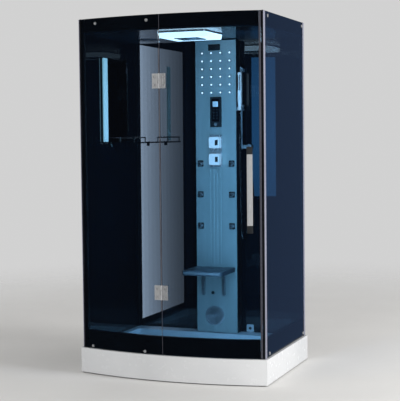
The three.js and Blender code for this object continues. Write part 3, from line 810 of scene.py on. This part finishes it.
def make_column_side_shade():
    """Black sheets over both sides of the column's casing: painted shade on its sides."""
    low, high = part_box("column_casing")
    front = column_face() + 0.002
    bm = bmesh.new()
    for left, right in ((low.x - 0.0012, low.x - 0.0002), (high.x + 0.0002, high.x + 0.0012)):
        block(bm, (left, front, low.z + 0.001), (right, high.y - 0.0005, high.z - 0.001), 0.0003)
    add(bm, "column_side_shade", "cabin", "black_rail")


def make_knob_shade_patches():
    """A dark patch on the right of each knob's face: painted shade for the lever's side."""
    for body in ("mixer", "diverter"):
        low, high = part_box(f"{body}_knob")
        centre = (low + high) / 2
        bm = bmesh.new()
        block(bm, (centre.x + 0.006, low.y - 0.0008, centre.z - 0.017),
              (centre.x + 0.026, low.y + 0.0008, centre.z + 0.017), 0.0006)
        add(bm, f"{body}_knob_shade_patch", body, "black_plastic")


JET_TIP = [(0, 0), (0.0092, 0), (0.0092, 0.0010), (0.0074, 0.0020), (0.0060, 0.0020), (0.0052, 0.0008),
           (0, 0.0008)]


def make_jet_flanges():
    """A square flange round each body jet, and the dark tip in its ball."""
    for level in ("top", "middle", "bottom"):
        for side in ("left", "right"):
            low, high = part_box(f"body_jet_{level}_{side}")
            centre = (low + high) / 2
            radius = (high.x - low.x) / 2 + 0.0006
            bm = bmesh.new()
            place = facing((centre.x, column_face(), centre.z), -Y)
            bezel(bm, place, squircle(0.0205, 0.0205, 9, 48), circle(radius), 0.004, 0.0014)
            add(bm, f"jet_flange_{level}_{side}", "cabin", "chrome")
            bm = bmesh.new()
            turned(bm, facing((centre.x, low.y - 0.0001, centre.z), -Y), JET_TIP, 24)
            add(bm, f"jet_tip_{level}_{side}", f"jet_{level}_{side}", "black_plastic")


def make_steam_outlet():
    """The round outlet cover with its raised rings, and dark rings of painted shade in its grooves, in
    place of the plain disc.
    """
    low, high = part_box("steam_outlet")
    centre = (low + high) / 2
    radius = (high.x - low.x) / 2
    back = column_face()
    depth = back - low.y
    place = facing((centre.x, back, centre.z), -Y)
    profile = [(0, 0), (radius, 0), (radius, depth * 0.35), (radius - 0.003, depth * 0.55)]
    rings = 5
    step = (radius - 0.014) / rings
    for i in range(rings):
        outer = radius - 0.006 - i * step
        profile += [(outer, depth * 0.55), (outer - step * 0.2, depth * 0.95),
                    (outer - step * 0.55, depth * 0.95), (outer - step * 0.75, depth * 0.45)]
    profile += [(0.010, depth * 0.45), (0.008, depth * 0.8), (0, depth * 0.9)]
    bm = bmesh.new()
    turned(bm, place, profile, 72)
    cover = add(bm, "steam_outlet_cover", "cabin", "chromed_plastic")
    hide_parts("steam_outlet")
    # Black rings at the bottom of the grooves: painted shade.
    bm = bmesh.new()
    for i in range(rings):
        groove = radius - 0.006 - (i + 0.86) * step
        bezel(bm, place @ Matrix.Translation((0, 0, depth * 0.46)), circle(groove + step * 0.14),
              circle(groove - step * 0.14), depth * 0.12, 0.0003)
    add(bm, "steam_outlet_groove_shade", "cabin", "black_plastic")


def make_aroma_cap():
    """The small dark cap between the seat's brackets."""
    left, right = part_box("seat_bracket_left"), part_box("seat_bracket_right")
    x = (left[1].x + right[0].x) / 2 - 0.012
    cap = [(0, 0), (0.011, 0), (0.011, 0.003), (0.009, 0.005), (0.004, 0.0056), (0, 0.0056)]
    bm = bmesh.new()
    turned(bm, facing((x, column_face(), left[0].z + 0.013), -Y), cap, 28)
    add(bm, "column_cap", "cabin", "black_plastic")


def make_seat_details():
    """Raised slats on the seat and a bright strip along its front edge."""
    low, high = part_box("seat_panel")
    bm = bmesh.new()
    count = 9
    pitch = (high.x - low.x - 0.04) / count
    for i in range(count):
        x = low.x + 0.02 + (i + 0.5) * pitch
        block(bm, (x - pitch * 0.32, low.y + 0.018, high.z - 0.0004),
              (x + pitch * 0.32, high.y - 0.062, high.z + 0.0022), 0.001)
    add(bm, "seat_slats", "seat", "seat_plastic")
    bm = bmesh.new()
    block(bm, (low.x + 0.012, low.y - 0.0014, low.z + 0.006),
          (high.x - 0.012, low.y + 0.001, high.z - 0.006), 0.0012)
    add(bm, "seat_front_trim", "seat", "chromed_plastic")


def make_level_sensor():
    """The small square sensor plate low on the back wall, right of the column."""
    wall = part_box("back_wall")[0].y
    x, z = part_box("column_casing")[1].x + 0.058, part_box("bottom_rail_right")[0].z + 0.026
    half = 0.024
    bm = bmesh.new()
    place = facing((x, wall, z), -Y)
    bezel(bm, place, squircle(half, half, 9, 48), circle(0.010), 0.005, 0.0015)
    add(bm, "level_sensor_plate", "cabin", "chromed_plastic", WHITE)
    bm = bmesh.new()
    turned(bm, place, [(0, 0), (0.0096, 0), (0.0096, 0.003), (0.006, 0.0045), (0, 0.005)], 28)
    add(bm, "level_sensor", "cabin", "black_plastic")


# ---------------------------------------------------------------- hand shower, mirror, shelf


def make_handset_details():
    """The nozzle strip along the stick's front, and the holder's clamp knob."""
    low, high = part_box("handset")
    x = (low.x + high.x) / 2
    bm = bmesh.new()
    block(bm, (x - 0.0085, low.y + 0.0006, high.z - 0.115),
          (x + 0.0085, low.y + 0.003, high.z - 0.015), 0.0006)
    add(bm, "handset_nozzle_strip", "hand_shower", "black_plastic")
    holder_low, holder_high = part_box("bar_holder")
    bm = bmesh.new()
    ring = [(0, 0), (0.0095, 0), (0.0095, 0.004), (0.008, 0.0055), (0, 0.0055)]
    side = facing((holder_high.x + 0.0002, (holder_low.y + holder_high.y) / 2 + 0.010,
                   (holder_low.z + holder_high.z) / 2), X)
    turned(bm, side, ring, 28)
    add(bm, "holder_clamp_knob", "holder", "chrome")


def make_mirror_details():
    """The lit strip in front of the mirror's near edge, and a trim on its far and top edges."""
    low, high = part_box("mirror")
    face = high.x + 0.0003
    bm = bmesh.new()
    block(bm, (face, low.y + 0.004, low.z + 0.004), (high.x + 0.010, low.y + 0.060, high.z - 0.004), 0.003)
    add(bm, "mirror_lamp", "cabin", "lit_diffuser", LAMP)
    bm = bmesh.new()
    edge = 0.005
    block(bm, (face, high.y - edge, low.z), (high.x + 0.004, high.y, high.z), 0.001)
    block(bm, (face, low.y + 0.064, high.z - edge), (high.x + 0.004, high.y - edge, high.z), 0.001)
    add(bm, "mirror_trim", "cabin", "chrome")


def make_shelf_details():
    """A rail on three posts along the shelf's front, and its two wall brackets."""
    low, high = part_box("glass_shelf")
    bm = bmesh.new()
    rail_x, rail_z = high.x - 0.006, high.z + 0.030
    posts = [low.y + 0.02, (low.y + high.y) / 2, high.y - 0.055]
    for y in posts:
        rod(bm, (rail_x, y, high.z + 0.0003), (rail_x, y, rail_z), 0.0035)
    rod(bm, (rail_x, posts[0] - 0.006, rail_z), (rail_x, posts[-1] + 0.006, rail_z), 0.004)
    add(bm, "shelf_rail", "cabin", "chrome")
    bm = bmesh.new()
    for y in (low.y + 0.05, high.y - 0.09):
        block(bm, (low.x + 0.0004, y, low.z - 0.020), (low.x + 0.024, y + 0.018, low.z - 0.0003), 0.002)
        block(bm, (low.x + 0.0004, y, high.z + 0.0003), (low.x + 0.024, y + 0.018, high.z + 0.0012), 0.0004)
    add(bm, "shelf_brackets", "cabin", "chrome")


# ---------------------------------------------------------------- base


def make_drain_details():
    """Radial ridges and a raised button on the drain cover."""
    low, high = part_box("drain_cover")
    centre = (low + high) / 2
    ridges = 12
    bm = bmesh.new()
    for i in range(ridges):
        turn = Matrix.Rotation(2 * math.pi * i / ridges, 4, "Z")
        place = facing((centre.x, centre.y, high.z), Z) @ turn
        block(bm, (0.018, -0.0022, -0.0004), (0.042, 0.0022, 0.0014), 0.0006, place)
    button = [(0, 0), (0.011, 0), (0.010, 0.0026), (0, 0.0034)]
    turned(bm, facing((centre.x, centre.y, high.z - 0.0004), Z), button, 32)
    add(bm, "drain_cover_pattern", "drain_lid", "chrome")


def make_tray_details():
    """Two columns of anti-slip bars on the basin floor, left of the drain."""
    drain_low, drain_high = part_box("drain_cover")
    floor = drain_high.z - 0.0075
    bm = bmesh.new()
    for row in range(7):
        y = drain_low.y - 0.316 + row * 0.07
        for x in (drain_low.x - 0.331, drain_low.x - 0.131):
            block(bm, (x - 0.075, y, floor - 0.0004), (x + 0.075, y + 0.016, floor + 0.0012), 0.0007)
    add(bm, "tray_grips", "cabin", "white_acrylic")


def make_feet_details():
    """The lock nut on each foot's thread."""
    nut = squircle(0.012, 0.012, 4, 6)
    for name in ("front_left", "front_right", "back_left", "back_right"):
        low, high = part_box(f"foot_{name}")
        centre = (low + high) / 2
        bm = bmesh.new()
        levels = (high.z - 0.014, high.z - 0.005)
        loft(bm, [[Vector((centre.x, centre.y, z)) + p for p in nut] for z in levels])
        add(bm, f"foot_nut_{name}", "cabin", "galvanised_steel")


# ---------------------------------------------------------------- lights and floor


def area_light(name, place, target, width, height, strength, colour=(1, 1, 1), seen=True):
    """A lamp that shines on target. If it isn't seen, polished pieces don't mirror it."""
    lamp = bpy.data.lights.new(name, "AREA")
    lamp.shape = "RECTANGLE"
    lamp.size, lamp.size_y = width, height
    lamp.energy = strength
    lamp.color = colour
    light = bpy.data.objects.new(name, lamp)
    light.matrix_world = facing(place, Vector(place) - Vector(target))
    light.visible_camera = False
    light.visible_glossy = seen
    light.visible_transmission = seen
    bpy.context.scene.collection.objects.link(light)
    return light


def mirrored_card(name, place, target, width, height, radiance, colour, receiver):
    """A card that lights nothing, and that only the node in receiver mirrors."""
    strength = radiance * math.pi * width * height
    card = area_light(name, place, target, width, height, strength, colour)
    card.visible_diffuse = False
    card.visible_transmission = False
    card.light_linking.receiver_collection = receiver
    return card


def make_world():
    """A pale backdrop that polished pieces mirror as a dark room."""
    world = bpy.data.worlds.new("studio")
    bpy.context.scene.world = world
    world.use_nodes = True
    nodes, links = world.node_tree.nodes, world.node_tree.links
    background = nodes["Background"]
    path = nodes.new("ShaderNodeLightPath")
    mix = nodes.new("ShaderNodeMix")
    mix.data_type = "RGBA"
    mix.inputs["A"].default_value = (0.64, 0.64, 0.64, 1)
    mix.inputs["B"].default_value = (0.03, 0.035, 0.045, 1)
    links.new(path.outputs["Glossy Depth"], mix.inputs["Factor"])
    links.new(mix.outputs["Result"], background.inputs["Color"])


def make_floor():
    """A pale disc that fades into the backdrop with distance."""
    bm = bmesh.new()
    radius, sides = 9, 96
    angles = [2 * math.pi * i / sides for i in range(sides)]
    low = CAD_BOUNDS[0].z
    bm.faces.new([bm.verts.new((radius * math.cos(a), radius * math.sin(a), low)) for a in angles])
    floor = object_from(bm, "floor")
    f = Finish("pale_floor")
    f.colour(f.noise(1.5, 4), (0.3, (0.74, 0.73, 0.71)), (0.7, (0.78, 0.77, 0.75)))
    f.rough(f.noise(20, 3), 0.6, 0.8)
    distance = f.node("ShaderNodeVectorMath", {0: f.place}, output="Value", operation="LENGTH")
    fade = f.node("ShaderNodeMapRange", {"Value": distance, "From Min": 1.6, "From Max": 6.0,
                                         "To Min": 1.0, "To Max": 0.0}, interpolation_type="SMOOTHSTEP")
    f.links.new(fade, f.shader.inputs["Alpha"])
    floor.data.materials.append(f.material)
    floor.visible_glossy = False
    floor.visible_transmission = False


def make_cards():
    """What the polished panes mirror: the left wall's pale glow, and two dim blue cards."""
    only = {name: bpy.data.collections.new(f"only_{name}") for name in ("back_wall", "side_glass")}
    for name, receivers in only.items():
        receivers.objects.link(NODES[name])
    # The back wall mirrors a row of tall cards along the left wall, which fade towards the front.
    x, top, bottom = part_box("left_wall")[1].x + 0.010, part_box("ceiling_panel")[0].z - 0.004, 0.20
    count, width, height = 12, 0.063, top - bottom
    start, brightest, fade = 0.434, 6.8, 0.85
    for i in range(count):
        place = Vector((x, start - (i + 0.5) * width, (top + bottom) / 2))
        mirrored_card(f"left_card_{i}", place, place + X, width, height, brightest * fade ** i,
                      (1.0, 0.94, 1.0), only["back_wall"])
    # The right pane mirrors a dim card behind the cabin, and the back wall one just inside the door.
    mirrored_card("dim_card_behind", (2.9, 5.8, 1.1), (0.585, 0, 1.1), 3.6, 4.6, 0.17,
                  (0.20, 0.42, 1.0), only["side_glass"])
    door_card = mirrored_card("dim_card_inside", (0.053, -0.35, 1.5), (0.36, 0.602, 1.5), 0.168, 1.0, 0.06,
                              (0.14, 0.50, 1.0), only["back_wall"])
    door_card.data.spread = math.radians(30)


def make_lights():
    """The room's key and fill, and the blue glow inside the cabin."""
    low, high = CAD_BOUNDS
    middle = (low + high) / 2
    area_light("key_right", (5.5, -0.5, 2.2), middle, 1.6, 2.6, 260, seen=False)
    area_light("front_fill", (-1.6, -5.0, 2.2), middle, 2.0, 2.0, 40, seen=False)
    make_cards()
    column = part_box("column_casing")
    inside = Vector((0.30, -0.28, 1.15))
    target = Vector(((column[0].x + column[1].x) / 2, column[0].y, 1.1))
    area_light("cabin_glow", inside, target, 0.3, 1.7, 13.5, (0.37, 0.71, 1.0), seen=False)


# ---------------------------------------------------------------- the scene, in order

make_camera()
make_hose()
dress_frame()
make_hose_nuts()
front = Bow()
make_glass_screws(front)
make_hinge_details()
make_hinge_seal()
make_door_edge(front)
make_corner_trims()
make_handle_sleeves(front)
make_light_frame()
make_rain_nozzles()
make_fan_grille()
make_generator_details()
make_nozzles()
make_speaker()
make_control_face()
make_column_side_shade()
make_knob_shade_patches()
make_jet_flanges()
make_steam_outlet()
make_aroma_cap()
make_seat_details()
make_level_sensor()
make_handset_details()
make_mirror_details()
make_shelf_details()
make_drain_details()
make_tray_details()
make_feet_details()
make_world()
make_floor()
make_lights()
bpy.context.scene.view_settings.view_transform = "Standard"
